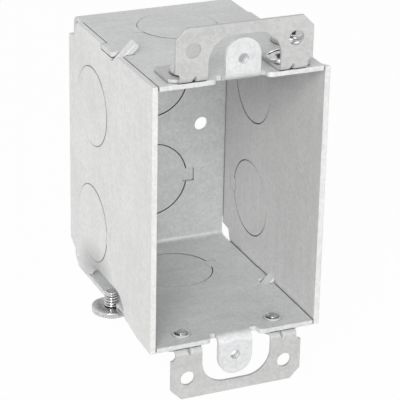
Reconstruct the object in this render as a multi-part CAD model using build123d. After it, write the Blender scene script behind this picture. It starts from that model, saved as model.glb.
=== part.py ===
from build123d import *
import math
import os

# Frame: millimetres. X is the width, Y runs from the open front (Y = 0) to the back, Z is up.
# The origin is the middle of the opening, in the plane of the box's front edges.

# Sheets
BODY_SHEET = 1.3
SIDE_SHEET = 1.5
EAR_SHEET = 0.9
SHEAR_GAP = 0.3

# Body strip: top, back and bottom wall folded from one piece
BODY_WIDTH = 45.4
BODY_HEIGHT = 74.0
BODY_DEPTH = 61.5
BACK_BEND_INNER_R = 1.5
BACK_WIDENING = 0.2
BACK_WIDE_HEIGHT = BODY_HEIGHT - 14.0
HALF_H = BODY_HEIGHT / 2
HALF_W = BODY_WIDTH / 2
INNER_H = HALF_H - BODY_SHEET

# Side plates
SIDE_GAP = 0.3
SIDE_DEPTH = BODY_DEPTH - 1.1
SIDE_INNER_X = HALF_W + SIDE_GAP
SIDE_OUTER_X = SIDE_INNER_X + SIDE_SHEET

# Device tabs; the holes stand 83.34 apart
DEVICE_HOLE_RISE = 4.67
DEVICE_HOLE_R = 1.37
TAB_WIDTH = 9.7
TAB_RISE = 10.2
TAB_BEND_INNER_R = 1.2
TAB_BEND_OUTER_R = TAB_BEND_INNER_R + BODY_SHEET
TAB_COLLAR_R = 2.3
TAB_COLLAR_HEIGHT = 1.0
RELIEF_WIDTH = 2.1
RELIEF_CORNER_R = 0.9
RELIEF_LIP_R = 1.5

# Knockouts
KNOCKOUT_R = 11.1
KNOCKOUT_Y = 42.5
KNOCKOUT_SIDE_Z = 17.15
KNOCKOUT_BACK_Z = 15.2
TIE_WIDTH = 3.9
TIE_LENGTH = 3.4
TIE_SHIFT = 0.5
WALL_TIE_RAISE = 0.05
BACK_TIE_RAISE = 0.45
DISC_RAISE = 0.12

# Round hole in the back
BACK_HOLE_R = 2.1
BACK_HOLE_X = 15.4

# Ears, with heights above the body's wall
EAR_WIDTH = BODY_WIDTH - 7.8
EAR_FACE_Y = -0.9
EAR_RISE = 14.6
EAR_CHAMFER = 2.9
EAR_HOLE_R = 2.05
EAR_HOLE_SPACING = EAR_WIDTH - 9.4
EAR_HOLE_RISE = 8.7
EAR_CUT_HALF_WIDTH = 10.0
EAR_CUT_RISE = 11.5
EAR_CUT_CORNER_R = 6.8
EAR_BEND_INNER_R = 0.8
EAR_BEND_RELIEF_R = 1.3
FOOT_OUTER_X = EAR_WIDTH / 2 + 0.8
FOOT_BACK_Y = 11.8
FOOT_CORNER_R = 1.2
FOOT_TAPER = 1.2
SLIDE_GAP = 0.05
SLIDE_FORWARD = 2.0
SLIDE_BACK = 0.4
SLOT_CLEARANCE = 0.35
DENT_DEPTH = 0.75
EAR_BACK_Y = EAR_FACE_Y + EAR_SHEET
EAR_BEND_OUTER_R = EAR_BEND_INNER_R + EAR_SHEET
FOOT_UNDER_Z = HALF_H + SLIDE_GAP
FOOT_TOP_Z = FOOT_UNDER_Z + EAR_SHEET
EAR_BEND_Z = FOOT_TOP_Z + EAR_BEND_INNER_R
EAR_BEND_Y = EAR_BACK_Y + EAR_BEND_INNER_R

# Ear screws
EAR_SCREW_X = HALF_W - 9.3
EAR_SCREW_Y = 5.6
EAR_SCREW_R = 1.7
EAR_SCREW_HEAD_R = 4.1
EAR_SCREW_RIM = 1.1
EAR_SCREW_CROWN = 1.4
EAR_SCREW_TIP = 0.45
EAR_TIP_CHAMFER = 0.35
THREAD_CLEARANCE = 0.05
EAR_COLLAR_R = 2.5
EAR_COLLAR_HEIGHT = 0.45
EAR_COLLAR_SINK = 0.4
HEAD_SLOT_WIDTH = 1.2
HEAD_SLOT_DEPTH = 1.3

# Gang screws
GANG_X = HALF_W + 0.8
LOWER_GANG_Y = 30.6
UPPER_GANG_Y = 21.0
GANG_SCREW_R = 2.0
GANG_LENGTH = 4.3
GANG_TIP_CHAMFER = 0.5
GANG_FLANGE_R = 5.5
GANG_FLANGE_HEIGHT = 1.5
GANG_FLANGE_CHAMFER = 0.3
GANG_DOME_R = 3.6
GANG_DOME_RIM = 0.9
GANG_DOME_CROWN = 1.2
GANG_SLOT_WIDTH = 1.3
GANG_SLOT_DEPTH = 1.5

# Each band of a screw's crown: share of the head's radius, share of the crown's height
CROWN_BANDS = ((1.0, 0.0), (0.9, 0.42), (0.68, 0.74), (0.38, 0.94), (0.0, 1.0))

# Lug on the body round each gang screw, as distances along Y from the screw
LUG_BEHIND = 5.4
LUG_FRONT = 2.6
LUG_RAMP = 1.0
LUG_EDGE_X = HALF_W + 0.35
LUG_SHELF_X = HALF_W + 0.7
LUG_SHELF_BEHIND = 25.0

# Hook tongue of a side plate, and the openings in the body for it
HOOK_FRONT_Y = 24.6
HOOK_BACK_Y = 28.0
HOOK_BEND_Z = HALF_H - 2.6
HOOK_LENGTH = 7.4
HOOK_ROOT = 0.33
HOOK_TIP_R = 0.7
HOOK_NOTCH_MARGIN = 0.3
HOOK_NOTCH_X = HALF_W - 3.4
LOCATING_TAB_BACK_Y = 35.6

# Screw pocket of a side plate: distances from the screw along Y, and heights in from the wall
POCKET_BEHIND = 23.0
POCKET_FRONT = 15.0
POCKET_RISE = 7.8
POCKET_FLOOR_BEHIND = 12.0
POCKET_FLOOR_FRONT = 3.2
POCKET_FLOOR_RISE = 5.2
POCKET_DEPTH = 3.8
POCKET_EDGE_Z = INNER_H - 0.15
PLATE_CUT_Z = INNER_H - 0.3
PLATE_CORNER = 5.0

# Each level of the pocket: how far from its rim to its floor, sideways and in depth
POCKET_LEVELS = ((0.0, 0.0), (0.3, 0.08), (0.6, 0.5), (0.85, 0.92), (1.0, 1.0))

BIG = 200.0

TO_YZ = Plane.YZ
TO_XZ = Plane.XZ


def block(x0, x1, y0, y1, z0, z1):
    """A box between two corners."""
    return Pos((x0 + x1) / 2, (y0 + y1) / 2, (z0 + z1) / 2) * Box(x1 - x0, y1 - y0, z1 - z0)


def prism_x(points, x0, x1):
    """A (Y, Z) outline carried along X."""
    return extrude(TO_YZ.offset(x0) * Polygon(*points, align=None), amount=x1 - x0, dir=(1, 0, 0))


def prism_y(face, y0, y1):
    """A face drawn in (X, Z) carried along Y."""
    return extrude(TO_XZ.offset(-y1) * face, amount=y1 - y0, dir=(0, -1, 0))


def prism_z(points, z0, z1):
    """An (X, Y) outline carried along Z."""
    return extrude(Pos(0, 0, z0) * Polygon(*points, align=None), amount=z1 - z0, dir=(0, 0, 1))


def ring_sector(y, z, inner_r, outer_r, x0, x1):
    """A quarter of a bend, on the front and lower side of its centre line."""
    ring = Circle(outer_r) - Circle(inner_r)
    corner = Pos(-outer_r / 2, -outer_r / 2) * Rectangle(outer_r, outer_r)
    return extrude(TO_YZ.offset(x0) * (Pos(y, z) * (ring & corner)), amount=x1 - x0)


def flipped(part):
    """The same part seen from below: Z turned over."""
    return mirror(part, about=Plane.XY)


def with_knockout(part, plane, sheet, tie_angle, tie_raise):
    """Cut a knockout whose outer face is `plane` and put its disc back, joined by the tie."""
    cut = extrude(plane * Circle(KNOCKOUT_R), amount=-sheet)
    disc = extrude(plane.offset(DISC_RAISE) * Circle(KNOCKOUT_R - SHEAR_GAP), amount=-sheet)
    tie_face = Pos(KNOCKOUT_R + TIE_SHIFT, 0) * Rectangle(TIE_LENGTH, TIE_WIDTH)
    tie_face = Rot(0, 0, tie_angle) * tie_face
    tie = extrude(plane.offset(tie_raise) * tie_face, amount=-sheet)
    room = extrude(plane * tie_face, amount=-sheet)
    return part - cut - room + disc - room + tie


def body_section():
    """The folded strip seen from the side."""
    outer_r = BACK_BEND_INNER_R + BODY_SHEET
    outer = Pos(BODY_DEPTH / 2, 0) * Rectangle(BODY_DEPTH, BODY_HEIGHT)
    outer = fillet(outer.vertices().group_by(Axis.X)[-1], outer_r)
    inner_depth = BODY_DEPTH - BODY_SHEET
    inner = Pos(inner_depth / 2, 0) * Rectangle(inner_depth, 2 * INNER_H)
    inner = fillet(inner.vertices().group_by(Axis.X)[-1], BACK_BEND_INNER_R)
    return outer - inner


def device_tab():
    """The upper device tab: rolled out of the wall, rounded end, tapped collar on its back."""
    half = TAB_WIDTH / 2
    bend_z = HALF_H + TAB_BEND_INNER_R
    hole_z = HALF_H + DEVICE_HOLE_RISE
    round_z = HALF_H + TAB_RISE - half
    tab = ring_sector(TAB_BEND_OUTER_R, bend_z, TAB_BEND_INNER_R, TAB_BEND_OUTER_R, -half, half)
    outline = Pos(0, round_z) * Circle(half)
    outline += Pos(0, (bend_z + round_z) / 2) * Rectangle(TAB_WIDTH, round_z - bend_z)
    tab += prism_y(outline, 0, BODY_SHEET)
    collar_back = BODY_SHEET + TAB_COLLAR_HEIGHT
    tab += prism_y(Pos(0, hole_z) * Circle(TAB_COLLAR_R), BODY_SHEET, collar_back)
    return tab - prism_y(Pos(0, hole_z) * Circle(DEVICE_HOLE_R), -1, collar_back + 1)


def tab_relief():
    """The rounded notches on both sides of a device tab, with the wall's edge rounded into them."""
    half = TAB_WIDTH / 2 + RELIEF_WIDTH
    notch = RectangleRounded(2 * half, 2 * TAB_BEND_OUTER_R, RELIEF_CORNER_R)
    for side in (-1, 1):
        corner = Pos(side * (half + RELIEF_LIP_R), RELIEF_LIP_R)
        lip = Pos(side * half, 0) * Rectangle(2 * RELIEF_LIP_R, 2 * RELIEF_LIP_R)
        notch += lip - corner * Circle(RELIEF_LIP_R)
    return notch


def lug_outline(gang_y):
    """The wall's widened edge behind and around a gang screw, as (X, Y) on the +X side."""
    inside = HALF_W - 1
    front = gang_y - LUG_FRONT
    behind = gang_y + LUG_BEHIND
    shelf_end = gang_y + LUG_SHELF_BEHIND
    return [
        (inside, front - LUG_RAMP),
        (HALF_W, front - LUG_RAMP),
        (LUG_EDGE_X, front),
        (LUG_EDGE_X, behind),
        (LUG_SHELF_X, behind + LUG_RAMP),
        (LUG_SHELF_X, shelf_end),
        (HALF_W, shelf_end + LUG_RAMP),
        (inside, shelf_end + LUG_RAMP),
    ]


def body_edges(gang_y):
    """Lug to add to the upper wall at +X with its tapped hole, and the hook's openings at -X."""
    lug = prism_z(lug_outline(gang_y), INNER_H, HALF_H)
    bore = Pos(GANG_X, gang_y, HALF_H) * Cylinder(GANG_SCREW_R + THREAD_CLEARANCE, 4 * BODY_SHEET)
    front = HOOK_FRONT_Y - HOOK_NOTCH_MARGIN
    back = HOOK_BACK_Y + HOOK_NOTCH_MARGIN
    notch = block(-SIDE_OUTER_X, -HOOK_NOTCH_X, front, back, INNER_H - 1, HALF_H + 1)
    tab = block(-SIDE_OUTER_X, -HALF_W + 1, back, LOCATING_TAB_BACK_Y, INNER_H, HALF_H)
    return lug, bore, notch, tab


def ear_screw_bore():
    """Tapped hole for the ear screws above and below, sunk at the inner ends of its collars."""
    mouth = INNER_H - EAR_COLLAR_HEIGHT
    bore_r = EAR_SCREW_R + THREAD_CLEARANCE
    bore = Cylinder(bore_r, BODY_HEIGHT + 2)
    for side, radii in ((1, (bore_r + EAR_COLLAR_SINK, bore_r)), (-1, (bore_r, bore_r + EAR_COLLAR_SINK))):
        sink = Cone(*radii, EAR_COLLAR_SINK)
        bore += Pos(0, 0, side * (mouth + EAR_COLLAR_SINK / 2)) * sink
    return bore


def build_body():
    body = extrude(TO_YZ.offset(-HALF_W) * body_section(), amount=BODY_WIDTH)
    body -= extrude(Pos(0, 0, -BIG / 2) * tab_relief(), amount=BIG)
    body += device_tab() + flipped(device_tab())
    wide = HALF_W + BACK_WIDENING
    half_wide = BACK_WIDE_HEIGHT / 2
    body += block(-wide, wide, BODY_DEPTH - BODY_SHEET, BODY_DEPTH, -half_wide, half_wide)

    # Upper wall: lug at +X, hook at -X. Lower wall: the other way round.
    for turn, gang_y in ((0, UPPER_GANG_Y), (180, LOWER_GANG_Y)):
        lug, bore, notch, tab = (Rot(0, turn, 0) * piece for piece in body_edges(gang_y))
        body = body + lug + tab
        body = body - bore - notch

    for x in (-EAR_SCREW_X, EAR_SCREW_X):
        place = Pos(x, EAR_SCREW_Y, 0)
        collar = Cylinder(EAR_COLLAR_R, 2 * INNER_H)
        collar -= Cylinder(EAR_COLLAR_R, 2 * (INNER_H - EAR_COLLAR_HEIGHT))
        body = body + place * collar - place * ear_screw_bore()

    hole = Plane((BACK_HOLE_X, BODY_DEPTH, 0), x_dir=(1, 0, 0), z_dir=(0, 1, 0))
    body -= extrude(hole * Circle(BACK_HOLE_R), amount=-BODY_SHEET)
    places = (
        ((0, BODY_DEPTH, KNOCKOUT_BACK_Z), (0, 1, 0), 180, BACK_TIE_RAISE),
        ((0, BODY_DEPTH, -KNOCKOUT_BACK_Z), (0, 1, 0), 0, BACK_TIE_RAISE),
        ((0, KNOCKOUT_Y, HALF_H), (0, 0, 1), 180, WALL_TIE_RAISE),
        ((0, KNOCKOUT_Y, -HALF_H), (0, 0, -1), 0, WALL_TIE_RAISE),
    )
    for centre, outward, tie_angle, tie_raise in places:
        plane = Plane(centre, x_dir=(1, 0, 0), z_dir=outward)
        body = with_knockout(body, plane, BODY_SHEET, tie_angle, tie_raise)
    return body


def plate_outline(gang_y):
    """A side plate's outline as (Y, Z), hook edge up, screw edge down."""
    corner = [
        (SIDE_DEPTH - 1.28 * PLATE_CORNER, HALF_H),
        (SIDE_DEPTH - 0.96 * PLATE_CORNER, HALF_H - 0.38 * PLATE_CORNER),
        (SIDE_DEPTH - 0.8 * PLATE_CORNER, HALF_H - 0.86 * PLATE_CORNER),
        (SIDE_DEPTH, HALF_H - 0.98 * PLATE_CORNER),
        (SIDE_DEPTH, -HALF_H + 1.64 * PLATE_CORNER),
        (SIDE_DEPTH - 1.36 * PLATE_CORNER, -HALF_H + 0.88 * PLATE_CORNER),
        (SIDE_DEPTH - 1.16 * PLATE_CORNER, -PLATE_CUT_Z),
    ]
    front = gang_y - POCKET_FRONT
    gap = HOOK_NOTCH_MARGIN
    return [
        (0, HALF_H),
        (HOOK_FRONT_Y - gap, HALF_H),
        (HOOK_FRONT_Y - gap, HOOK_BEND_Z + HOOK_ROOT),
        (HOOK_BACK_Y + gap, HOOK_BEND_Z + HOOK_ROOT),
        (HOOK_BACK_Y + gap, PLATE_CUT_Z),
        (LOCATING_TAB_BACK_Y + gap, PLATE_CUT_Z),
        (LOCATING_TAB_BACK_Y + gap, HALF_H),
        *corner,
        (front + gap, -PLATE_CUT_Z),
        (front - 4 * gap, -PLATE_CUT_Z - gap),
        (front - 4 * SIDE_SHEET, -HALF_H + gap),
        (0, -HALF_H),
    ]


def pocket_outlines(gang_y):
    """The pocket's rim and floor as two lists of (Y, Z), at the -X side and the lower edge."""
    past = -HALF_H - 2
    rim_z = -HALF_H + POCKET_RISE
    floor_z = -HALF_H + POCKET_FLOOR_RISE
    behind, front = POCKET_BEHIND, POCKET_FRONT
    floor_behind, floor_front = POCKET_FLOOR_BEHIND, POCKET_FLOOR_FRONT
    rim = [
        (gang_y + behind, past),
        (gang_y + behind * 0.93, rim_z - POCKET_RISE * 0.55),
        (gang_y + behind * 0.66, rim_z - POCKET_RISE * 0.08),
        (gang_y, rim_z),
        (gang_y - front * 0.7, rim_z - POCKET_RISE * 0.1),
        (gang_y - front * 0.95, rim_z - POCKET_RISE * 0.6),
        (gang_y - front, past),
    ]
    floor = [
        (gang_y + floor_behind, past),
        (gang_y + floor_behind * 0.9, floor_z - POCKET_FLOOR_RISE * 0.66),
        (gang_y + floor_behind * 0.5, floor_z - POCKET_FLOOR_RISE * 0.13),
        (gang_y, floor_z),
        (gang_y - floor_front * 0.6, floor_z - POCKET_FLOOR_RISE * 0.11),
        (gang_y - floor_front * 0.9, floor_z - POCKET_FLOOR_RISE * 0.62),
        (gang_y - floor_front, past),
    ]
    return rim, floor


def pocket_solid(gang_y, top_x):
    """The screw pocket's shape: it leaves the plate's face slowly and flattens into its floor."""
    rim, floor = pocket_outlines(gang_y)
    faces = []
    for inward, depth in POCKET_LEVELS:
        points = []
        for outer, inner in zip(rim, floor):
            points.append(tuple(a + (b - a) * inward for a, b in zip(outer, inner)))
        edge = Spline(*points) + Line(points[-1], points[0])
        faces.append(TO_YZ.offset(top_x + POCKET_DEPTH * depth) * make_face(edge))
    return loft(faces)


def hook_tongue():
    """The tongue at the plate's upper edge, leaning inward at 45 degrees, at the -X side."""
    lean = math.sqrt(0.5)
    root = (-SIDE_OUTER_X + SIDE_SHEET / 2, 0, HOOK_BEND_Z)
    plane = Plane(root, x_dir=(0, 1, 0), z_dir=(lean, 0, -lean))
    middle = Pos((HOOK_FRONT_Y + HOOK_BACK_Y) / 2, (HOOK_LENGTH - HOOK_ROOT) / 2)
    outline = middle * Rectangle(HOOK_BACK_Y - HOOK_FRONT_Y, HOOK_LENGTH + HOOK_ROOT)
    outline = fillet(outline.vertices().group_by(Axis.Y)[-1], HOOK_TIP_R)
    return extrude(plane * outline, amount=SIDE_SHEET / 2, both=True)


def build_side(gang_y):
    """The left side plate. The right one is the same plate turned half round the Y axis."""
    plate = prism_x(plate_outline(gang_y), -SIDE_OUTER_X, -SIDE_INNER_X)
    keep = block(-BIG, BIG, -BIG, BIG, -POCKET_EDGE_Z, BIG)
    bulge = pocket_solid(gang_y, -SIDE_INNER_X) & keep
    hollow = pocket_solid(gang_y, -SIDE_OUTER_X)
    plate = plate + bulge - hollow
    plate += hook_tongue()
    for z, tie_angle in ((KNOCKOUT_SIDE_Z, 0), (-KNOCKOUT_SIDE_Z, 180)):
        outer_face = Plane((-SIDE_OUTER_X, KNOCKOUT_Y, z), x_dir=(0, 1, 0), z_dir=(-1, 0, 0))
        plate = with_knockout(plate, outer_face, SIDE_SHEET, tie_angle, WALL_TIE_RAISE)
    return plate


def ear_dent(x):
    """A shallow V pressed into the outer corner of an ear's bend."""
    lean = math.sqrt(0.5)
    from_corner = (EAR_BEND_OUTER_R - DENT_DEPTH) * lean
    centre = (x, EAR_BEND_Y - from_corner, EAR_BEND_Z - from_corner)
    plane = Plane(centre, x_dir=(1, 0, 0), z_dir=(0, lean, -lean))
    reach = 3 * DENT_DEPTH
    return extrude(plane * Polygon((0, 0), (reach, reach), (-reach, reach), align=None), amount=4, both=True)


def ear_face():
    """The upper ear's face as (X, Z): cut corners, U cut-out, two holes, bend reliefs."""
    half = EAR_WIDTH / 2
    top = HALF_H + EAR_RISE
    face = Polygon(
        (-half, EAR_BEND_Z),
        (half, EAR_BEND_Z),
        (half, top - EAR_CHAMFER),
        (half - EAR_CHAMFER, top),
        (-half + EAR_CHAMFER, top),
        (-half, top - EAR_CHAMFER),
        align=None,
    )
    cut_height = 2 * (HALF_H + EAR_CUT_RISE - EAR_BEND_Z)
    face -= Pos(0, EAR_BEND_Z) * RectangleRounded(2 * EAR_CUT_HALF_WIDTH, cut_height, EAR_CUT_CORNER_R)
    for side in (-1, 1):
        face -= Pos(side * EAR_HOLE_SPACING / 2, HALF_H + EAR_HOLE_RISE) * Circle(EAR_HOLE_R)
        face -= Pos(side * half, EAR_BEND_Z) * Circle(EAR_BEND_RELIEF_R)
    return face


def ear_foot():
    """One slotted foot of an ear as (X, Y), at the +X side."""
    bend_outer_x = EAR_WIDTH / 2 - EAR_BEND_RELIEF_R
    foot = Polygon(
        (EAR_CUT_HALF_WIDTH, EAR_BEND_Y),
        (bend_outer_x, EAR_BEND_Y),
        (FOOT_OUTER_X, EAR_BEND_Y + FOOT_TAPER),
        (FOOT_OUTER_X, FOOT_BACK_Y),
        (EAR_CUT_HALF_WIDTH, FOOT_BACK_Y),
        align=None,
    )
    foot = fillet(foot.vertices().group_by(Axis.Y)[-1], FOOT_CORNER_R)
    slot_length = SLIDE_FORWARD + SLIDE_BACK
    slot_y = EAR_SCREW_Y + (SLIDE_FORWARD - SLIDE_BACK) / 2
    slot = SlotCenterToCenter(slot_length, 2 * (EAR_SCREW_R + SLOT_CLEARANCE), rotation=90)
    return foot - Pos(EAR_SCREW_X, slot_y) * slot


def build_ear():
    """The upper ear: face, two bends, two slotted feet."""
    ear = prism_y(ear_face(), EAR_FACE_Y, EAR_BACK_Y)
    bend_outer_x = EAR_WIDTH / 2 - EAR_BEND_RELIEF_R
    half_ear = ring_sector(
        EAR_BEND_Y, EAR_BEND_Z, EAR_BEND_INNER_R, EAR_BEND_OUTER_R, EAR_CUT_HALF_WIDTH, bend_outer_x
    )
    half_ear += extrude(Pos(0, 0, FOOT_UNDER_Z) * ear_foot(), amount=EAR_SHEET)
    ear = ear + half_ear + mirror(half_ear, about=Plane.YZ)
    for x in (-EAR_SCREW_X, EAR_SCREW_X):
        ear -= ear_dent(x)
    return ear


def slotted(screw, top_z, width, depth, angle):
    """Cut the driver slot into a head whose top is at `top_z`."""
    cutter = Pos(0, 0, top_z) * Rot(0, 0, angle) * Box(BIG, width, 2 * depth)
    return screw - cutter


def turned(profile, head_r, rim_z, crown):
    """Turn a screw from its half profile, closed by the bands of its crown."""
    bands = [(head_r * out, rim_z + crown * up) for out, up in CROWN_BANDS]
    outline = Polygon(*profile, *bands, align=None)
    return revolve(Plane.XZ * outline, axis=Axis.Z)


def build_ear_screw(slot_angle):
    """A pan-head screw for the upper wall, on the Z axis; its thread is left to the picture."""
    seat = FOOT_TOP_Z + SLIDE_GAP
    tip = INNER_H - EAR_COLLAR_HEIGHT - EAR_SCREW_TIP
    rim = seat + EAR_SCREW_RIM
    profile = [
        (0, tip), (EAR_SCREW_R - EAR_TIP_CHAMFER, tip), (EAR_SCREW_R, tip + EAR_TIP_CHAMFER),
        (EAR_SCREW_R, seat), (EAR_SCREW_HEAD_R, seat),
    ]
    screw = turned(profile, EAR_SCREW_HEAD_R, rim, EAR_SCREW_CROWN)
    return slotted(screw, rim + EAR_SCREW_CROWN, HEAD_SLOT_WIDTH, HEAD_SLOT_DEPTH, slot_angle)


def build_gang_screw(slot_angle):
    """The flanged slotted screw, head up, flange seated on the upper wall, on the Z axis."""
    seat = HALF_H
    tip = seat - GANG_LENGTH
    flange_top = seat + GANG_FLANGE_HEIGHT
    rim = flange_top + GANG_DOME_RIM
    profile = [
        (0, tip), (GANG_SCREW_R - GANG_TIP_CHAMFER, tip), (GANG_SCREW_R, tip + GANG_TIP_CHAMFER),
        (GANG_SCREW_R, seat), (GANG_FLANGE_R, seat),
        (GANG_FLANGE_R, flange_top - GANG_FLANGE_CHAMFER),
        (GANG_FLANGE_R - GANG_FLANGE_CHAMFER, flange_top), (GANG_DOME_R, flange_top),
    ]
    screw = turned(profile, GANG_DOME_R, rim, GANG_DOME_CROWN)
    return slotted(screw, rim + GANG_DOME_CROWN, GANG_SLOT_WIDTH, GANG_SLOT_DEPTH, slot_angle)


def build_all():
    """Every piece in its place in the shared frame."""
    parts = {
        "body": build_body(),
        "left_side": build_side(LOWER_GANG_Y),
        "right_side": Rot(0, 180, 0) * build_side(UPPER_GANG_Y),
        "upper_ear": build_ear(),
        "lower_ear": flipped(build_ear()),
        "upper_gang_screw": Pos(GANG_X, UPPER_GANG_Y, 0) * build_gang_screw(40),
        "lower_gang_screw": Pos(-GANG_X, LOWER_GANG_Y, 0) * Rot(0, 180, 0) * build_gang_screw(-35),
    }
    places = (("left", -EAR_SCREW_X, 25, 60), ("right", EAR_SCREW_X, -20, 10))
    for name, x, upper_angle, lower_angle in places:
        place = Pos(x, EAR_SCREW_Y, 0)
        parts["upper_ear_screw_" + name] = place * build_ear_screw(upper_angle)
        parts["lower_ear_screw_" + name] = place * Rot(0, 180, 0) * build_ear_screw(lower_angle)
    return parts


os.makedirs("parts", exist_ok=True)
for node, shape in build_all().items():
    solid = shape.solids()[0] if len(shape.solids()) == 1 else shape
    export_step(solid, "parts/" + node + ".step")
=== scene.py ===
"""Looks of a galvanised switch box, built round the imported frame. Lengths are in metres."""

import logging
import math
from dataclasses import dataclass, field
from enum import Enum

import bmesh
import bpy
import numpy as np
from mathutils import Matrix, Vector


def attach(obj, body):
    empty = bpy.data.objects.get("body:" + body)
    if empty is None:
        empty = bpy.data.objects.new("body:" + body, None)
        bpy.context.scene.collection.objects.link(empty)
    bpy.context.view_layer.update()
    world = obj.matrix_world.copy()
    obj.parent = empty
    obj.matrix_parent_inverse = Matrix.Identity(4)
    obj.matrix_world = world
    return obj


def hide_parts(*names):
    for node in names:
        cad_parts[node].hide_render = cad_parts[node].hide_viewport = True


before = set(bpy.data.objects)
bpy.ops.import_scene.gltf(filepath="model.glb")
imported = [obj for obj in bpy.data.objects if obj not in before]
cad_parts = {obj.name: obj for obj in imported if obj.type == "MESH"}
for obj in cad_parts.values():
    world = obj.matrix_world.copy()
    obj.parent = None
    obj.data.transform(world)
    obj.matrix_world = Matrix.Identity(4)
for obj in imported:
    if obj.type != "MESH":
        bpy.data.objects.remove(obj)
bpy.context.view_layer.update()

LOG = logging.getLogger("switch_box")
MM = 0.001
BODY = "box"

# Pitch of a thread with 32 turns to the inch, in millimetres
PITCH = 0.794

# Points of a mesh nearer than this are merged, and edges shorter than this dropped, in metres
WELD = 2e-6
SLIVER = 1e-6

# Tones of the painted shade round the pockets and of the painted shade in tight corners
POCKET_SHADE_TONE = (0.25, 0.25, 0.255)
CREVICE_SHADE_TONE = (0.05, 0.05, 0.052)


class Way(Enum):
    """Which way a screw's head looks."""

    UP = 1
    DOWN = -1


class Grain(Enum):
    """Stretch of the rolling streaks along X, Y and Z, in cycles per metre."""

    STRIP = (420.0, 2600.0, 2600.0)
    PLATE = (2600.0, 2600.0, 380.0)
    TURNED = (1500.0, 1500.0, 3200.0)


class MeshBin:
    """Collects grids of points and turns them into one closed mesh object."""

    def __init__(self) -> None:
        """Start with nothing."""
        self.points: list[np.ndarray] = []
        self.quads: list[np.ndarray] = []
        self.count = 0

    def grid(self, points: np.ndarray, wrap_u: bool = False, wrap_v: bool = False) -> None:
        """Add a surface given as rows and columns of points.

        Each quad joins (i, j), (i, j+1), (i+1, j+1) and (i+1, j); a wrapped direction also
        joins its last line of points to its first.

        Args:
            points: array of shape (rows, columns, 3), in metres.
            wrap_u: close the rows.
            wrap_v: close the columns.
        """
        rows, cols = points.shape[:2]
        ids = np.arange(rows * cols).reshape(rows, cols) + self.count
        if wrap_u:
            ids = np.vstack([ids, ids[:1]])
        if wrap_v:
            ids = np.hstack([ids, ids[:, :1]])
        quads = np.stack([ids[:-1, :-1], ids[:-1, 1:], ids[1:, 1:], ids[1:, :-1]], axis=-1)
        self.points.append(points.reshape(-1, 3))
        self.quads.append(quads.reshape(-1, 4))
        self.count += rows * cols

    def build(self, name: str, smooth_below: float = 35.0) -> bpy.types.Object:
        """Make the object: coincident points merged, empty faces dropped, faces outward.

        Args:
            name: the object's name.
            smooth_below: edges sharper than this many degrees stay sharp.

        Returns:
            The new object, at the origin.
        """
        verts = np.concatenate(self.points)
        quads = np.concatenate(self.quads)
        mesh = bpy.data.meshes.new(name)
        mesh.from_pydata(verts, [], quads)
        work = bmesh.new()
        work.from_mesh(mesh)
        bmesh.ops.remove_doubles(work, verts=work.verts, dist=WELD)
        bmesh.ops.dissolve_degenerate(work, edges=work.edges, dist=SLIVER)
        bmesh.ops.recalc_face_normals(work, faces=work.faces)
        work.to_mesh(mesh)
        work.free()
        mesh.shade_smooth()
        mesh.set_sharp_from_angle(angle=math.radians(smooth_below))
        made = bpy.data.objects.new(name, mesh)
        bpy.context.scene.collection.objects.link(made)
        return made


class NodeSheet:
    """A shader tree with short calls for adding and joining nodes."""

    def __init__(self, tree: bpy.types.NodeTree) -> None:
        """Work on `tree`."""
        self.tree = tree

    def add(self, kind: str, inputs: dict | None = None, **settings: object) -> bpy.types.Node:
        """Add a node.

        Args:
            kind: the node's type name.
            inputs: input name or index to a value or to another node's output.
            settings: the node's own properties.

        Returns:
            The node.
        """
        node = self.tree.nodes.new(kind)
        for key, value in settings.items():
            setattr(node, key, value)
        for key, value in (inputs or {}).items():
            if isinstance(value, bpy.types.NodeSocket):
                self.tree.links.new(value, node.inputs[key])
            else:
                node.inputs[key].default_value = value
        return node

    def vector(self, operation: str, a: object, b: object) -> bpy.types.NodeSocket:
        """One arithmetic step on two vectors."""
        return self.add("ShaderNodeVectorMath", {0: a, 1: b}, operation=operation).outputs[0]

    def noise(
        self, at: object, scale: float, detail: float, roughness: float = 0.5, distortion: float = 0.0
    ) -> bpy.types.Node:
        """Cloud noise.

        Args:
            at: the coordinates' output.
            scale: cycles per unit.
            detail: number of finer layers.
            roughness: strength of the finer layers.
            distortion: how far the pattern is pushed about.

        Returns:
            The noise node.
        """
        inputs = {"Vector": at, "Scale": scale, "Detail": detail, "Roughness": roughness}
        return self.add("ShaderNodeTexNoise", {**inputs, "Distortion": distortion})

    def math(self, operation: str, a: object, b: object = 0.0, clamp: bool = False) -> bpy.types.NodeSocket:
        """One arithmetic step.

        Args:
            operation: the step's name.
            a: first value or output.
            b: second value or output.
            clamp: hold the result between 0 and 1.

        Returns:
            The result's output.
        """
        node = self.add("ShaderNodeMath", {0: a, 1: b}, operation=operation, use_clamp=clamp)
        return node.outputs[0]

    def remap(
        self, value: object, low: float, high: float, to_low: float = 0.0, to_high: float = 1.0
    ) -> bpy.types.NodeSocket:
        """Carry low..high over to to_low..to_high, held at both ends.

        Args:
            value: the output to carry over.
            low: the value that becomes `to_low`.
            high: the value that becomes `to_high`.
            to_low: the result at `low`.
            to_high: the result at `high`.

        Returns:
            The result's output.
        """
        node = self.add("ShaderNodeMapRange", {0: value, 1: low, 2: high, 3: to_low, 4: to_high})
        return node.outputs[0]

    def mix(self, factor: object, a: object, b: object, blend: str = "MIX") -> bpy.types.NodeSocket:
        """Mix two colours.

        Args:
            factor: share of `b`.
            a: first colour.
            b: second colour.
            blend: how they are mixed.

        Returns:
            The mixed colour's output.
        """
        node = self.add("ShaderNodeMix", {0: factor, 6: a, 7: b}, data_type="RGBA", blend_type=blend)
        return node.outputs[2]


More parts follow.
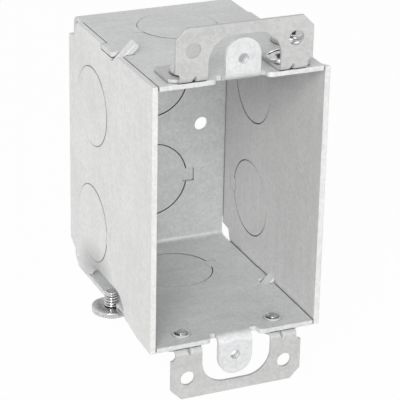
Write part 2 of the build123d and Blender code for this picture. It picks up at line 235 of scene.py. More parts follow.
def new_group(
    name: str, inputs: dict[str, tuple[str, float]], outputs: dict[str, str]
) -> tuple[NodeSheet, bpy.types.Node, bpy.types.Node]:
    """Start a shader node group.

    Args:
        name: the group's name.
        inputs: input name to its kind (Float or Vector) and its value when nothing is joined.
        outputs: output name to its kind.

    Returns:
        The sheet to draw on, the group's input node and its output node.
    """
    tree = bpy.data.node_groups.new(name, "ShaderNodeTree")
    for label, (kind, value) in inputs.items():
        socket = tree.interface.new_socket(label, in_out="INPUT", socket_type="NodeSocket" + kind)
        if kind == "Float":
            socket.default_value = value
    for label, kind in outputs.items():
        tree.interface.new_socket(label, in_out="OUTPUT", socket_type="NodeSocket" + kind)
    sheet = NodeSheet(tree)
    return sheet, sheet.add("NodeGroupInput"), sheet.add("NodeGroupOutput")


class ZincEffects:
    """The effects that every zinc finish shares, each a node group built once."""

    # Painted shade round the gang-screw pockets: middle of the pocket, how far its side shifts it along Y,
    # and its reach along Y and Z, in millimetres
    POCKET_Y = 34.8
    POCKET_SHIFT = 4.8
    POCKET_Z = 32.0
    POCKET_REACH = (15.0, 11.0)

    def __init__(self) -> None:
        """Build the groups."""
        self.mottle = self.build_mottle()
        self.grain = self.build_grain()
        self.edges = self.build_edges()
        self.marks = self.build_marks()
        self.crevice = self.build_crevice()
        self.pocket_shade = self.build_pocket_shade()

    def build_mottle(self) -> bpy.types.NodeTree:
        """Crystals of the zinc coat: cells of even tone under a slow cloud.

        Returns:
            The group, giving Crystal and Cloud, each from 0 to 1.
        """
        sheet, given, made = new_group(
            "zinc_mottle",
            {"Coordinates": ("Vector", 0.0), "Crystal Size": ("Float", 2.5)},
            {"Crystal": "Float", "Cloud": "Float"},
        )
        at = given.outputs["Coordinates"]
        wobble = sheet.noise(at, 620.0, 3.0)
        moved = sheet.vector("ADD", at, sheet.vector("MULTIPLY", wobble.outputs["Color"], (0.0011,) * 3))
        scale = sheet.math("DIVIDE", 1000.0, given.outputs["Crystal Size"])
        cells = sheet.add("ShaderNodeTexVoronoi", {"Vector": moved, "Scale": scale}, feature="F1")
        cloud = sheet.noise(at, 55.0, 4.0, 0.55)
        tone = sheet.add("ShaderNodeSeparateColor", {0: cells.outputs["Color"]}).outputs[0]
        sheet.tree.links.new(tone, made.inputs["Crystal"])
        sheet.tree.links.new(sheet.remap(cloud.outputs[0], 0.3, 0.7), made.inputs["Cloud"])
        return sheet.tree

    def build_grain(self) -> bpy.types.NodeTree:
        """Fine streaks left by rolling, stretched along one axis.

        Returns:
            The group, giving Height and Streak, each from 0 to 1.
        """
        sheet, given, made = new_group(
            "rolled_grain",
            {"Coordinates": ("Vector", 0.0), "Stretch": ("Vector", 0.0)},
            {"Height": "Float", "Streak": "Float"},
        )
        stretched = sheet.vector("MULTIPLY", given.outputs["Coordinates"], given.outputs["Stretch"])
        fine = sheet.noise(stretched, 1.0, 4.0, 0.6)
        slow = sheet.noise(stretched, 0.13, 2.0)
        sheet.tree.links.new(fine.outputs[0], made.inputs["Height"])
        sheet.tree.links.new(sheet.remap(slow.outputs[0], 0.35, 0.65), made.inputs["Streak"])
        return sheet.tree

    def build_edges(self) -> bpy.types.NodeTree:
        """Sheared edges: the rounded normal near an edge, and how far it turns from the face's, as the mask
        of a painted highlight.

        Returns:
            The group, giving the painted edge highlight mask from 0 to 1 and Normal.
        """
        sheet, _, made = new_group("rounded_edge_and_highlight", {}, {"Mask": "Float", "Normal": "Vector"})
        round_over = sheet.add("ShaderNodeBevel", {"Radius": 0.22 * MM}, samples=6)
        face = sheet.add("ShaderNodeNewGeometry")
        turn = sheet.add(
            "ShaderNodeVectorMath",
            {0: round_over.outputs[0], 1: face.outputs["Normal"]},
            operation="DOT_PRODUCT",
        ).outputs["Value"]
        sheet.tree.links.new(sheet.remap(turn, 0.995, 0.80), made.inputs["Mask"])
        sheet.tree.links.new(round_over.outputs[0], made.inputs["Normal"])
        return sheet.tree

    def build_marks(self) -> bpy.types.NodeTree:
        """Handling marks: a few hair scratches, and dull smudges.

        Returns:
            The group, giving Scratch and Smudge, each from 0 to 1.
        """
        sheet, given, made = new_group(
            "handling_marks", {"Coordinates": ("Vector", 0.0)}, {"Scratch": "Float", "Smudge": "Float"}
        )
        at = given.outputs["Coordinates"]
        bend = sheet.noise(at, 90.0, 1.0)
        moved = sheet.vector("ADD", at, sheet.vector("MULTIPLY", bend.outputs["Color"], (0.006,) * 3))
        lines = sheet.add(
            "ShaderNodeTexVoronoi", {"Vector": moved, "Scale": 62.0}, feature="DISTANCE_TO_EDGE"
        )
        thin = sheet.remap(lines.outputs["Distance"], 0.0, 0.006, 1.0, 0.0)
        sparse = sheet.noise(at, 170.0, 2.0)
        kept = sheet.remap(sparse.outputs[0], 0.56, 0.64)
        smudge = sheet.noise(at, 31.0, 5.0, 0.65, 0.8)
        sheet.tree.links.new(sheet.math("MULTIPLY", thin, kept), made.inputs["Scratch"])
        sheet.tree.links.new(sheet.remap(smudge.outputs[0], 0.5, 0.72), made.inputs["Smudge"])
        return sheet.tree

    def build_crevice(self) -> bpy.types.NodeTree:
        """Painted shade in tight corners: darker where little is open within 0.6 mm of the surface.

        Returns:
            The group, giving the painted corner shade mask from 0 to 1.
        """
        sheet, _, made = new_group("corner_painted_shade", {}, {"Corner Shade": "Float"})
        openness = sheet.add("ShaderNodeAmbientOcclusion", {"Distance": 0.6 * MM}, samples=8).outputs["AO"]
        sheet.tree.links.new(sheet.remap(openness, 0.80, 0.38), made.inputs["Corner Shade"])
        return sheet.tree

    def build_pocket_shade(self) -> bpy.types.NodeTree:
        """Painted shade round the screw pockets of the plates, standing in for the shade on the pressed
        pocket's curved ramp.

        The pocket's middle lies at y = 34.8 - 4.8 s and z = 32 s millimetres, with s the sign of
        x. The mask falls from 1 to 0 as the distance, measured as (dy / 15, dz / 11), goes from
        0.15 to 1.

        Returns:
            The group, giving the painted pocket shade mask from 0 to 1.
        """
        sheet, given, made = new_group("pocket_painted_shade", {"Coordinates": ("Vector", 0.0)}, {"Pocket Shade": "Float"})
        split = sheet.add("ShaderNodeSeparateXYZ", {0: given.outputs["Coordinates"]})
        side = sheet.math("SIGN", split.outputs["X"])
        dy = sheet.math("ADD", split.outputs["Y"], sheet.math("MULTIPLY", side, self.POCKET_SHIFT * MM))
        dy = sheet.math("SUBTRACT", dy, self.POCKET_Y * MM)
        dy = sheet.math("DIVIDE", dy, self.POCKET_REACH[0] * MM)
        dz = sheet.math("SUBTRACT", split.outputs["Z"], sheet.math("MULTIPLY", side, self.POCKET_Z * MM))
        dz = sheet.math("DIVIDE", dz, self.POCKET_REACH[1] * MM)
        squares = sheet.math("ADD", sheet.math("MULTIPLY", dy, dy), sheet.math("MULTIPLY", dz, dz))
        away = sheet.math("SQRT", squares)
        sheet.tree.links.new(sheet.remap(away, 1.0, 0.15), made.inputs["Pocket Shade"])
        return sheet.tree


@dataclass(frozen=True)
class ZincFinish:
    """A zinc-coated steel surface.

    `tone_shares` weigh crystal, cloud and streak in the colour, `rough_shares` crystal and streak
    in the roughness, and `height_shares` grain, crystal and scratch in the relief.
    """

    name: str
    dark: tuple[float, float, float]
    light: tuple[float, float, float]
    metallic: float
    roughness: tuple[float, float]
    crystal_mm: float
    grain: Grain
    bump: float
    # Light tone of the painted edge highlight and of the scratches, and the painted highlight's share
    edge_highlight_and_scratch_tone: tuple[float, float, float] = (0.82, 0.82, 0.81)
    edge_highlight_share: float = 0.25
    # Share of painted shade in tight corners and crevices
    crevice_shade: float = 0.85
    # Share of painted shade round the screw pockets
    pocket_shade: float = 0.0
    tone_shares: tuple[float, float, float] = (0.52, 0.26, 0.22)
    rough_shares: tuple[float, float] = (0.6, 0.4)
    height_shares: tuple[float, float, float] = (0.5, 0.25, 0.8)
    smudge: float = 0.35
    smudge_rough: float = 0.06
    scratch: float = 0.4
    relief_mm: float = 0.03

    def material(self, effects: ZincEffects) -> bpy.types.Material:
        """Make the material: tone from crystals, cloud and streaks, then a painted edge highlight, marks,
        painted pocket shade and painted corner shade over it.

        Args:
            effects: the shared node groups.

        Returns:
            The material.
        """
        made = bpy.data.materials.new(self.name)
        made.use_nodes = True
        made.node_tree.nodes.clear()
        sheet = NodeSheet(made.node_tree)
        at = sheet.add("ShaderNodeTexCoord").outputs["Object"]
        mottle = sheet.add("ShaderNodeGroup", node_tree=effects.mottle)
        mottle.inputs["Crystal Size"].default_value = self.crystal_mm
        grain = sheet.add("ShaderNodeGroup", node_tree=effects.grain)
        grain.inputs["Stretch"].default_value = self.grain.value
        marks = sheet.add("ShaderNodeGroup", node_tree=effects.marks)
        edges = sheet.add("ShaderNodeGroup", node_tree=effects.edges)
        for group in (mottle, grain, marks):
            sheet.tree.links.new(at, group.inputs["Coordinates"])

        crystal = mottle.outputs["Crystal"]
        cloud = mottle.outputs["Cloud"]
        streak = grain.outputs["Streak"]
        of_crystal, of_cloud, of_streak = self.tone_shares
        tone = sheet.math("MULTIPLY", crystal, of_crystal)
        tone = sheet.math("ADD", tone, sheet.math("MULTIPLY", cloud, of_cloud))
        tone = sheet.math("ADD", tone, sheet.math("MULTIPLY", streak, of_streak), clamp=True)
        colour = sheet.mix(tone, (*self.dark, 1.0), (*self.light, 1.0))
        smudged = sheet.math("MULTIPLY", marks.outputs["Smudge"], self.smudge)
        colour = sheet.mix(smudged, colour, (*self.dark, 1.0))
        # Painted highlight along edges: colour lightened towards the light edge tone; scratches below take
        # the same tone as real wear
        edge_highlighted = sheet.math("MULTIPLY", edges.outputs["Mask"], self.edge_highlight_share)
        colour = sheet.mix(edge_highlighted, colour, (*self.edge_highlight_and_scratch_tone, 1.0))
        scratched = sheet.math("MULTIPLY", marks.outputs["Scratch"], self.scratch)
        colour = sheet.mix(scratched, colour, (*self.edge_highlight_and_scratch_tone, 1.0))

        # Painted shade round the screw pockets: colour darkened towards a dark grey tone
        pocket_shade = sheet.add("ShaderNodeGroup", node_tree=effects.pocket_shade)
        sheet.tree.links.new(at, pocket_shade.inputs["Coordinates"])
        pocket_shaded = sheet.math("MULTIPLY", pocket_shade.outputs["Pocket Shade"], self.pocket_shade)
        colour = sheet.mix(pocket_shaded, colour, (*POCKET_SHADE_TONE, 1.0))
        # Painted shade: colour darkened towards a near-black tone in tight corners and crevices, found by
        # ambient occlusion
        crevice = sheet.add("ShaderNodeGroup", node_tree=effects.crevice)
        crevice_shade = sheet.math("MULTIPLY", crevice.outputs["Corner Shade"], self.crevice_shade)
        colour = sheet.mix(crevice_shade, colour, (*CREVICE_SHADE_TONE, 1.0))

        of_crystal, of_streak = self.rough_shares
        uneven = sheet.math("MULTIPLY", crystal, of_crystal)
        uneven = sheet.math("ADD", uneven, sheet.math("MULTIPLY", streak, of_streak))
        rough = sheet.remap(uneven, 0.0, 1.0, self.roughness[0], self.roughness[1])
        dull = sheet.math("MULTIPLY", marks.outputs["Smudge"], self.smudge_rough)
        rough = sheet.math("ADD", rough, dull, clamp=True)

        of_grain, of_crystal, of_scratch = self.height_shares
        height = sheet.math("MULTIPLY", grain.outputs["Height"], of_grain)
        height = sheet.math("ADD", height, sheet.math("MULTIPLY", crystal, of_crystal))
        scored = sheet.math("MULTIPLY", marks.outputs["Scratch"], of_scratch)
        height = sheet.math("SUBTRACT", height, scored)
        bump = sheet.add(
            "ShaderNodeBump",
            {
                "Strength": self.bump,
                "Distance": self.relief_mm * MM,
                "Height": height,
                "Normal": edges.outputs["Normal"],
            },
        )
        shader = sheet.add(
            "ShaderNodeBsdfPrincipled",
            {
                "Base Color": colour,
                "Roughness": rough,
                "Metallic": self.metallic,
                "Normal": bump.outputs[0],
            },
        )
        sheet.add("ShaderNodeOutputMaterial", {"Surface": shader.outputs[0]})
        return made


@dataclass(frozen=True)
class TornFinish:
    """The dull face where a knockout is sheared but not cut through."""

    name: str = "torn_steel"
    dark: tuple[float, float, float] = (0.20, 0.20, 0.203)
    light: tuple[float, float, float] = (0.44, 0.44, 0.443)
    crystal_mm: float = 0.4
    bump: float = 0.6
    relief_mm: float = 0.05
    roughness: float = 0.85
    metallic: float = 0.3

    def material(self, effects: ZincEffects) -> bpy.types.Material:
        """Make the material: dull steel, broken by the mottle group's crystals.

        Args:
            effects: the shared node groups.

        Returns:
            The material.
        """
        made = bpy.data.materials.new(self.name)
        made.use_nodes = True
        made.node_tree.nodes.clear()
        sheet = NodeSheet(made.node_tree)
        mottle = sheet.add("ShaderNodeGroup", node_tree=effects.mottle)
        mottle.inputs["Crystal Size"].default_value = self.crystal_mm
        at = sheet.add("ShaderNodeTexCoord").outputs["Object"]
        sheet.tree.links.new(at, mottle.inputs["Coordinates"])
        colour = sheet.mix(mottle.outputs["Crystal"], (*self.dark, 1.0), (*self.light, 1.0))
        bump = sheet.add(
            "ShaderNodeBump",
            {
                "Strength": self.bump,
                "Distance": self.relief_mm * MM,
                "Height": mottle.outputs["Crystal"],
            },
        )
        shader = sheet.add(
            "ShaderNodeBsdfPrincipled",
            {
                "Base Color": colour,
                "Roughness": self.roughness,
                "Metallic": self.metallic,
                "Normal": bump.outputs[0],
            },
        )
        sheet.add("ShaderNodeOutputMaterial", {"Surface": shader.outputs[0]})
        return made


class Finishes:
    """Every material of the box, made once."""

    def __init__(self) -> None:
        """Build the shared effects and the materials."""
        effects = ZincEffects()
        self.strip = ZincFinish(
            "zinc_strip", (0.59, 0.595, 0.60), (0.78, 0.785, 0.79), 0.35, (0.40, 0.54), 0.7,
            Grain.STRIP, 0.55,
        ).material(effects)
        # Only the plates carry the painted shade round the screw pockets
        self.plate = ZincFinish(
            "zinc_plate", (0.66, 0.66, 0.652), (0.83, 0.83, 0.822), 0.35, (0.40, 0.54), 0.8,
            Grain.PLATE, 0.55, pocket_shade=0.7,
        ).material(effects)
        self.ear = ZincFinish(
            "zinc_ear", (0.46, 0.46, 0.455), (0.60, 0.60, 0.595), 0.35, (0.36, 0.48), 0.7,
            Grain.STRIP, 0.50,
        ).material(effects)
        # The screw's edges carry a strong painted highlight
        self.screw = ZincFinish(
            "bright_zinc", (0.42, 0.42, 0.43), (0.70, 0.70, 0.70), 0.95, (0.10, 0.20), 0.5,
            Grain.TURNED, 0.25, edge_highlight_share=0.8,
        ).material(effects)
        self.torn = TornFinish().material(effects)


def dress(node: str, material: bpy.types.Material) -> None:
    """Give a carried-over CAD node its material.

    Args:
        node: the node's name.
        material: its material.
    """
    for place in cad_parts[node].material_slots:
        place.material = material
    LOG.info("dressed %s", node)


def place_piece(piece: bpy.types.Object, material: bpy.types.Material) -> None:
    """Give a new piece its material and record slot, and let it move with the box.

    Args:
        piece: the new object.
        material: its material.
    """
    piece.data.materials.append(material)
    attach(piece, BODY)
    LOG.info("built %s: %d faces", piece.name, len(piece.data.polygons))


@dataclass
class SlottedScrew:
    """A slotted machine screw with a real thread, in millimetres along its own axis.

    `root_flat` and `flank` are shares of half a turn, `tooth` and `root_limit` are depths as
    shares of the pitch.
    """

    node: str
    x: float
    y: float
    seat: float
    way: Way
    shank_r: float
    pitch: float
    length: float
    collar: tuple[tuple[float, float], ...]
    head_r: float
    head_base: float
    crown: float
    slot_width: float
    slot_floor: float
    slot_angle: float
    tip_chamfer: float = 0.5
    crown_power: float = 2.4
    root_flat: float = 0.15
    flank: float = 0.7
    tooth: float = 0.56
    root_limit: float = 0.62
    rows: int = 44
    slot_rows: int = 5
    columns: int = 25
    steps_per_turn: int = 16

    def around(self) -> tuple[np.ndarray, np.ndarray]:
        """Angles of the columns, so that two columns meet each slot edge.

        The right half's angles are t with R sin t spaced evenly in t, with the slot's edges
        added twice; the left half's are pi - t.

        Returns:
            The angle of each row of the head's right edge from bottom to top, and a mark that
            is true inside the slot.
        """
        half = self.slot_width / 2
        edge = math.asin(half / self.head_r)
        outer = np.linspace(-math.pi / 2, -edge, self.rows // 2)
        inner = np.linspace(-edge, edge, self.slot_rows)
        t = np.concatenate([outer, inner, -outer[::-1]])
        beside = np.zeros(len(outer), bool)
        inside = np.concatenate([beside, np.ones(len(inner), bool), beside])
        return t, inside

    def crown_height(self, r: np.ndarray) -> np.ndarray:
        """Height of the head's top at radius r: base plus crown times (1 - (r/R)^power)."""
        return self.head_base + self.crown * (1.0 - np.clip(r / self.head_r, 0.0, 1.0) ** self.crown_power)

    def top(self) -> np.ndarray:
        """The head's slotted top, as rows across the slot.

        Row i lies at y = R sin t_i and runs from x = -R cos t_i to R cos t_i. Its height is the
        crown's, or the slot floor's where the row is inside the slot.

        Returns:
            Array (rows, columns, 3) in millimetres.
        """
        t, inside = self.around()
        s = np.sin(np.linspace(-math.pi / 2, math.pi / 2, self.columns))
        y = np.repeat((self.head_r * np.sin(t))[:, None], len(s), axis=1)
        x = (self.head_r * np.cos(t))[:, None] * s[None, :]
        z = self.crown_height(np.hypot(x, y))
        z = np.where(inside[:, None], self.slot_floor, z)
        return np.stack([x, y, z], axis=-1)

    def sides(self) -> np.ndarray:
        """Everything below the head's top, turned round the axis.

        The profile runs from the tip's centre out, along the shank, under the head and up to
        the rim. On the shank the radius is the crest radius less a flat-topped tooth of the
        phase z / pitch - angle / 2 pi, faded in over the tip's chamfer.

        Returns:
            Array (rows, columns, 3) in millimetres.
        """
        t, inside = self.around()
        angle = np.concatenate([t, math.pi - t[::-1]])
        cut = np.concatenate([inside, inside[::-1]])
        steps = int(self.length / self.pitch * self.steps_per_turn)
        z_shank = np.linspace(-self.length, 0.0, steps)
        phase = np.mod(z_shank[:, None] / self.pitch - angle[None, :] / (2 * math.pi), 1.0)
        tooth = np.clip((np.abs(2 * phase - 1) - self.root_flat) / self.flank, 0.0, 1.0)
        crest = np.minimum(self.shank_r, self.shank_r - self.tip_chamfer + (z_shank + self.length))[:, None]
        least = self.shank_r - self.root_limit * self.pitch
        r_shank = np.maximum(crest - self.tooth * self.pitch * tooth, least)
        r_shank = np.minimum(r_shank, np.maximum(crest, least))
        ones = np.ones_like(angle)
        rows = [(0.0 * ones, -self.length * ones), (0.5 * r_shank[0], -self.length * ones)]
        rows += [(r_shank[k], z_shank[k] * ones) for k in range(steps)]
        rows += [(r * ones, z * ones) for r, z in self.collar]
        rim = np.where(cut, self.slot_floor, self.head_base)
        rows.append((self.head_r * ones, rim))
        r = np.stack([row[0] for row in rows])
        z = np.stack([row[1] for row in rows])
        return np.stack([r * np.cos(angle), r * np.sin(angle), z], axis=-1)

    def set_in_place(self, points: np.ndarray) -> np.ndarray:
        """Turn the slot, seat the screw and convert to metres; a head that looks down is turned over.

        Args:
            points: array (..., 3) in millimetres along the screw's own axis.

        Returns:
            Array of the same shape, in metres in the shared frame.
        """
        turn = math.radians(self.slot_angle)
        x = points[..., 0] * math.cos(turn) - points[..., 1] * math.sin(turn)
        y = points[..., 0] * math.sin(turn) + points[..., 1] * math.cos(turn)
        flip = self.way.value
        placed = [self.x + flip * x, self.y + y, flip * (self.seat + points[..., 2])]
        return np.stack(placed, axis=-1) * MM

    def build(self, finishes: Finishes) -> None:
        """Build the screw, dress it and let it stand for its CAD node.

        Args:
            finishes: the materials.
        """
        mesh = MeshBin()
        mesh.grid(self.set_in_place(self.sides()), wrap_v=True)
        mesh.grid(self.set_in_place(self.top()))
        made = mesh.build("threaded_" + self.node, smooth_below=40.0)
        place_piece(made, finishes.screw)
        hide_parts(self.node)


@dataclass
class ShearLines:
    """The thin torn web that still closes the gap round each knockout disc."""

    inner_r: float = 10.78
    outer_r: float = 11.12
    thickness: float = 0.25
    depth: float = 0.15
    half_height: float = 37.0
    half_width: float = 24.5
    back: float = 61.5
    side_y: float = 42.5
    side_z: float = 17.15
    back_z: float = 15.2
    steps: int = 96

    def ring(self, centre: tuple[float, float, float], normal: tuple[float, float, float]) -> np.ndarray:
        """A flat ring of rectangular section round `normal`.

        Args:
            centre: the ring's centre, in millimetres.
            normal: its axis.

        Returns:
            Array (corners, steps, 3) in metres.
        """
        axis = Vector(normal).normalized()
        across = axis.orthogonal().normalized()
        up = axis.cross(across)
        angle = np.linspace(0.0, 2 * math.pi, self.steps, endpoint=False)
        h = self.thickness / 2
        corners = [(self.inner_r, -h), (self.outer_r, -h), (self.outer_r, h), (self.inner_r, h)]
        spoke = np.outer(np.cos(angle), across) + np.outer(np.sin(angle), up)
        lines = [np.array(centre) + r * spoke + z * np.array(axis) for r, z in corners]
        return np.stack(lines) * MM

    def build(self, finishes: Finishes) -> None:
        """Build all eight webs as one piece.

        Args:
            finishes: the materials.
        """
        w, h, b = self.half_width - self.depth, self.half_height - self.depth, self.back - self.depth
        places = [((sx * w, self.side_y, sz * self.side_z), (1, 0, 0)) for sx in (-1, 1) for sz in (-1, 1)]
        places += [((0, b, s * self.back_z), (0, 1, 0)) for s in (-1, 1)]
        places += [((0, self.side_y, s * h), (0, 0, 1)) for s in (-1, 1)]
        mesh = MeshBin()
        for centre, normal in places:
            mesh.grid(self.ring(centre, normal), wrap_u=True, wrap_v=True)
        place_piece(mesh.build("knockout_shear_webs"), finishes.torn)


@dataclass
class TabThreads:
    """The thread cut inside the two device holes, as a helical ridge."""

    hole_r: float = 1.37
    ridge: float = 0.22
    sunk: float = 0.03
    half_ridge: float = 0.30
    pitch: float = PITCH
    depth: float = 2.3
    margin: float = 0.2
    hole_z: float = 41.67
    steps: int = 140

    def ridge_points(self, z: float) -> np.ndarray:
        """A triangular ridge along a helix, pinched to nothing at both ends.

        The helix is y = pitch * turns, with the hole's radius; the section is a triangle whose
        apex points at the axis and whose size fades with sin(pi s) ^ 0.3.

        Args:
            z: height of the hole's axis.

        Returns:
            Array (steps, corners, 3) in metres.
        """
        s = np.linspace(0.0, 1.0, self.steps)
        turns = (self.depth - 2 * self.margin) / self.pitch
        angle = 2 * math.pi * turns * s
        size = np.sin(math.pi * np.clip(s, 0.001, 0.999)) ** 0.3
        along = self.margin + turns * self.pitch * s
        corners = [(self.sunk, -self.half_ridge), (-self.ridge, 0.0), (self.sunk, self.half_ridge)]
        lines = []
        for out, side in corners:
            r = self.hole_r + size * out
            lines.append(np.stack([r * np.cos(angle), along + size * side, z + r * np.sin(angle)], axis=-1))
        return np.stack(lines, axis=1) * MM

    def build(self, finishes: Finishes) -> None:
        """Build both threads as one piece.

        Args:
            finishes: the materials.
        """
        mesh = MeshBin()
        for z in (-self.hole_z, self.hole_z):
            mesh.grid(self.ridge_points(z), wrap_v=True)
        place_piece(mesh.build("device_hole_threads"), finishes.strip)


@dataclass
class BoxShell:
    """The folded strip and the two side plates, with their knockout webs and threads."""

    shear_lines: ShearLines = field(default_factory=ShearLines)
    threads: TabThreads = field(default_factory=TabThreads)

    def build(self, finishes: Finishes) -> None:
        """Dress the CAD nodes and add the small parts on them.

        Args:
            finishes: the materials.
        """
        dress("body", finishes.strip)
        dress("left_side", finishes.plate)
        dress("right_side", finishes.plate)
        self.shear_lines.build(finishes)
        self.threads.build(finishes)


@dataclass
class Ears:
    """The two plaster ears, which stay CAD nodes."""

    nodes: tuple[str, str] = ("upper_ear", "lower_ear")

    def build(self, finishes: Finishes) -> None:
        """Dress both ears."""
        for node in self.nodes:
            dress(node, finishes.ear)


@dataclass
class Fasteners:
    """The four ear screws and the two gang screws, sizes in millimetres."""

    ear_x: float = 13.4
    ear_y: float = 5.6
    ear_seat: float = 38.0
    gang_x: float = 23.5
    upper_gang_y: float = 21.0
    lower_gang_y: float = 30.6
    gang_seat: float = 37.0

    def ear_screw(self, node: str, x: float, way: Way, angle: float) -> SlottedScrew:
        """One pan-head ear screw.

        Args:
            node: the CAD node that it stands for.
            x: place of its axis along X, in millimetres.
            way: which way its head looks.
            angle: turn of its slot, in degrees.

        Returns:
            The screw, not yet built.
        """
        return SlottedScrew(
            node=node, x=x, y=self.ear_y, seat=self.ear_seat, way=way, shank_r=1.7, pitch=PITCH, length=3.15,
            collar=((1.7, 0.0), (3.9, 0.0), (4.04, 0.06), (4.1, 0.2), (4.1, 0.6), (4.06, 0.9)),
            head_r=3.95, head_base=1.1, crown=1.4, slot_width=1.2, slot_floor=1.0, slot_angle=angle,
            tip_chamfer=0.4,
        )

    def gang_screw(self, node: str, x: float, y: float, way: Way, angle: float) -> SlottedScrew:
        """One flanged gang screw.

        Args:
            node: the CAD node that it stands for.
            x: place of its axis along X, in millimetres.
            y: place of its axis along Y, in millimetres.
            way: which way its head looks.
            angle: turn of its slot, in degrees.

        Returns:
            The screw, not yet built.
        """
        return SlottedScrew(
            node=node, x=x, y=y, seat=self.gang_seat, way=way, shank_r=2.0, pitch=PITCH, length=4.3,
            collar=((2.0, 0.0), (5.3, 0.0), (5.46, 0.06), (5.5, 0.2), (5.5, 1.2), (5.42, 1.4), (5.25, 1.5),
                    (3.7, 1.52), (3.6, 1.62)),
            head_r=3.55, head_base=2.4, crown=1.2, slot_width=1.3, slot_floor=2.1, slot_angle=angle,
        )

    def build(self, finishes: Finishes) -> None:
        """Build the six screws.

        Args:
            finishes: the materials.
        """
        screws = [
            self.ear_screw("upper_ear_screw_left", -self.ear_x, Way.UP, 25.0),
            self.ear_screw("upper_ear_screw_right", self.ear_x, Way.UP, -20.0),
            self.ear_screw("lower_ear_screw_left", -self.ear_x, Way.DOWN, 60.0),
            self.ear_screw("lower_ear_screw_right", self.ear_x, Way.DOWN, 10.0),
            self.gang_screw("upper_gang_screw", self.gang_x, self.upper_gang_y, Way.UP, 40.0),
            self.gang_screw("lower_gang_screw", -self.gang_x, self.lower_gang_y, Way.DOWN, -35.0),
        ]
        for screw in screws:
            screw.build(finishes)


@dataclass
class Camera:
    """The photograph's viewpoint: angles in degrees, distance in millimetres, offsets in pixels."""

    azimuth: float = -23.944
    elevation: float = 23.636
    roll: float = 1.168
    distance: float = 499.784
    focal: float = 1938.451
    centre: tuple[float, float] = (37.097, -10.23)
    middle: tuple[float, float] = (2.403, 1.128)
    frame_px: float = 400.0
    sensor: float = 36.0

    def build(self) -> None:
        """Set the scene's camera: look along the view direction, then roll about it."""
        az, el, roll = (math.radians(v) for v in (self.azimuth, self.elevation, self.roll))
        forward = -Vector((math.sin(az) * math.cos(el), -math.cos(az) * math.cos(el), math.sin(el)))
        right = forward.cross(Vector((0, 0, 1))).normalized()
        up = right.cross(forward)
        side = math.cos(roll) * right + math.sin(roll) * up
        top = -math.sin(roll) * right + math.cos(roll) * up
        per_px = self.distance / self.focal
        shift = -self.centre[0] * per_px * side - self.centre[1] * per_px * top
        at = (shift - self.distance * forward) * MM
        data = bpy.data.cameras.new("photo_view")
        data.sensor_width = self.sensor
        data.lens = self.focal * self.sensor / self.frame_px
        data.shift_x = -self.middle[0] / self.frame_px
        data.shift_y = self.middle[1] / self.frame_px
        data.clip_start, data.clip_end = 0.01, 20.0
        camera = bpy.data.objects.new("photo_view", data)
        turned = Matrix((side, top, -forward)).transposed().to_4x4()
        camera.matrix_world = Matrix.Translation(at) @ turned
        bpy.context.scene.collection.objects.link(camera)
        bpy.context.scene.camera = camera
        LOG.info("camera set")


@dataclass
class SoftBox:
    """A square lamp that looks at a point."""

    name: str
    at: tuple[float, float, float]
    look: tuple[float, float, float]
    size: float
    power: float

    def build(self) -> None:
        """Put the lamp in the scene."""
        data = bpy.data.lights.new(self.name, "AREA")
        data.size = self.size
        data.energy = self.power
        lamp = bpy.data.objects.new(self.name, data)
        aim = Vector(self.look) - Vector(self.at)
        lamp.matrix_world = Matrix.Translation(self.at) @ aim.to_track_quat("-Z", "Y").to_matrix().to_4x4()
        bpy.context.scene.collection.objects.link(lamp)


@dataclass
class Flag:
    """A square black card that only shows in reflections."""

    name: str
    at: tuple[float, float, float]
    look: tuple[float, float, float]
    size: float
    tone: float = 0.02

    def build(self) -> None:
        """Put the card in the scene, facing the point it looks at."""
        aim = (Vector(self.look) - Vector(self.at)).to_track_quat("-Z", "Y").to_matrix().to_4x4()
        place = Matrix.Translation(self.at) @ aim
        h = self.size / 2
        corners = np.array([place @ Vector((x, y, 0.0)) for y in (-h, h) for x in (-h, h)])
        mesh = MeshBin()
        mesh.grid(corners.reshape(2, 2, 3))
        card = mesh.build(self.name)
        paint = bpy.data.materials.new(self.name)
        paint.use_nodes = True
        paint.node_tree.nodes.clear()
        sheet = NodeSheet(paint.node_tree)
        matt = sheet.add("ShaderNodeBsdfDiffuse", {"Color": (self.tone, self.tone, self.tone, 1)})
        sheet.add("ShaderNodeOutputMaterial", {"Surface": matt.outputs[0]})
        card.data.materials.append(paint)
        card.visible_camera = False


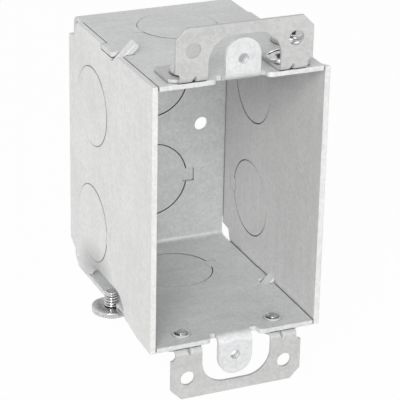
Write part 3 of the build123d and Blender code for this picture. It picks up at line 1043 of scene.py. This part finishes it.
@dataclass
class Studio:
    """White surroundings, a pale floor that keeps a faint shadow, soft lamps and black cards."""

    floor_z: float = -0.0522
    floor_rings: tuple[float, float, float] = (0.0001, 0.5, 6.0)
    floor_steps: int = 64
    floor_tone: float = 0.86
    floor_white: float = 0.97
    world_level: float = 0.40
    lamps: tuple[SoftBox, ...] = (
        SoftBox("front_key", (-0.9, -1.35, 0.88), (0.0, 0.02, 0.0), 0.9, 29.0),
        SoftBox("low_front", (0.1, -1.6, 0.3), (0.0, 0.02, 0.0), 0.6, 4.2),
        SoftBox("left_fill", (-1.6, 0.1, 0.6), (0.0, 0.03, 0.0), 1.2, 2.0),
    )
    flags: tuple[Flag, ...] = (
        Flag("card_above", (0.1, 0.25, 0.8), (0.0, 0.0, 0.0), 0.55),
        Flag("card_behind_camera", (-0.26, -0.586, 0.281), (0.0, 0.0, 0.0), 0.14),
        Flag("card_left", (-0.95, -0.35, 0.05), (0.0, 0.0, 0.0), 0.28),
    )

    def seen_by_eye_or_mirror(self, sheet: NodeSheet) -> bpy.types.NodeSocket:
        """1 for camera, glossy and transmission rays, else 0.

        Args:
            sheet: the tree to draw on.

        Returns:
            The output that gives it.
        """
        path = sheet.add("ShaderNodeLightPath")
        seen = sheet.math("MAXIMUM", path.outputs["Is Camera Ray"], path.outputs["Is Glossy Ray"])
        return sheet.math("MAXIMUM", seen, path.outputs["Is Transmission Ray"])

    def build_world(self) -> None:
        """White to the eye and in mirrors; a little softer where it only lights."""
        world = bpy.data.worlds.new("studio_white")
        world.use_nodes = True
        world.node_tree.nodes.clear()
        sheet = NodeSheet(world.node_tree)
        light = sheet.add("ShaderNodeBackground", {"Color": (1, 1, 1, 1), "Strength": self.world_level})
        white = sheet.add("ShaderNodeBackground", {"Color": (1, 1, 1, 1), "Strength": 1.0})
        seen = self.seen_by_eye_or_mirror(sheet)
        blend = sheet.add("ShaderNodeMixShader", {0: seen, 1: light.outputs[0], 2: white.outputs[0]})
        sheet.add("ShaderNodeOutputWorld", {"Surface": blend.outputs[0]})
        bpy.context.scene.world = world

    def build_floor(self) -> None:
        """A round floor: mostly white to the eye, with part of its lit colour so the shadow shows."""
        angle = np.linspace(0.0, 2 * math.pi, self.floor_steps, endpoint=False)
        height = np.full(self.floor_steps, self.floor_z)
        rings = [np.stack([r * np.cos(angle), r * np.sin(angle), height], axis=-1) for r in self.floor_rings]
        mesh = MeshBin()
        mesh.grid(np.stack(rings), wrap_v=True)
        floor = mesh.build("floor")
        paint = bpy.data.materials.new("floor_white")
        paint.use_nodes = True
        paint.node_tree.nodes.clear()
        sheet = NodeSheet(paint.node_tree)
        tone = self.floor_tone
        lit = sheet.add("ShaderNodeBsdfDiffuse", {"Color": (tone, tone, tone, 1)})
        white = sheet.add("ShaderNodeEmission", {"Color": (1, 1, 1, 1), "Strength": 1.0})
        share = sheet.math("MULTIPLY", self.seen_by_eye_or_mirror(sheet), self.floor_white)
        blend = sheet.add("ShaderNodeMixShader", {0: share, 1: lit.outputs[0], 2: white.outputs[0]})
        sheet.add("ShaderNodeOutputMaterial", {"Surface": blend.outputs[0]})
        floor.data.materials.append(paint)

    def build(self) -> None:
        """Build the surroundings."""
        self.build_world()
        self.build_floor()
        for piece in (*self.lamps, *self.flags):
            piece.build()
        bpy.context.scene.view_settings.view_transform = "Standard"
        LOG.info("studio set")


def main() -> None:
    """Build every piece of the box and its studio."""
    logging.basicConfig(level=logging.INFO, format="%(message)s")
    finishes = Finishes()
    BoxShell().build(finishes)
    Ears().build(finishes)
    Fasteners().build(finishes)
    Camera().build()
    Studio().build()


if __name__ == "__main__":
    main()
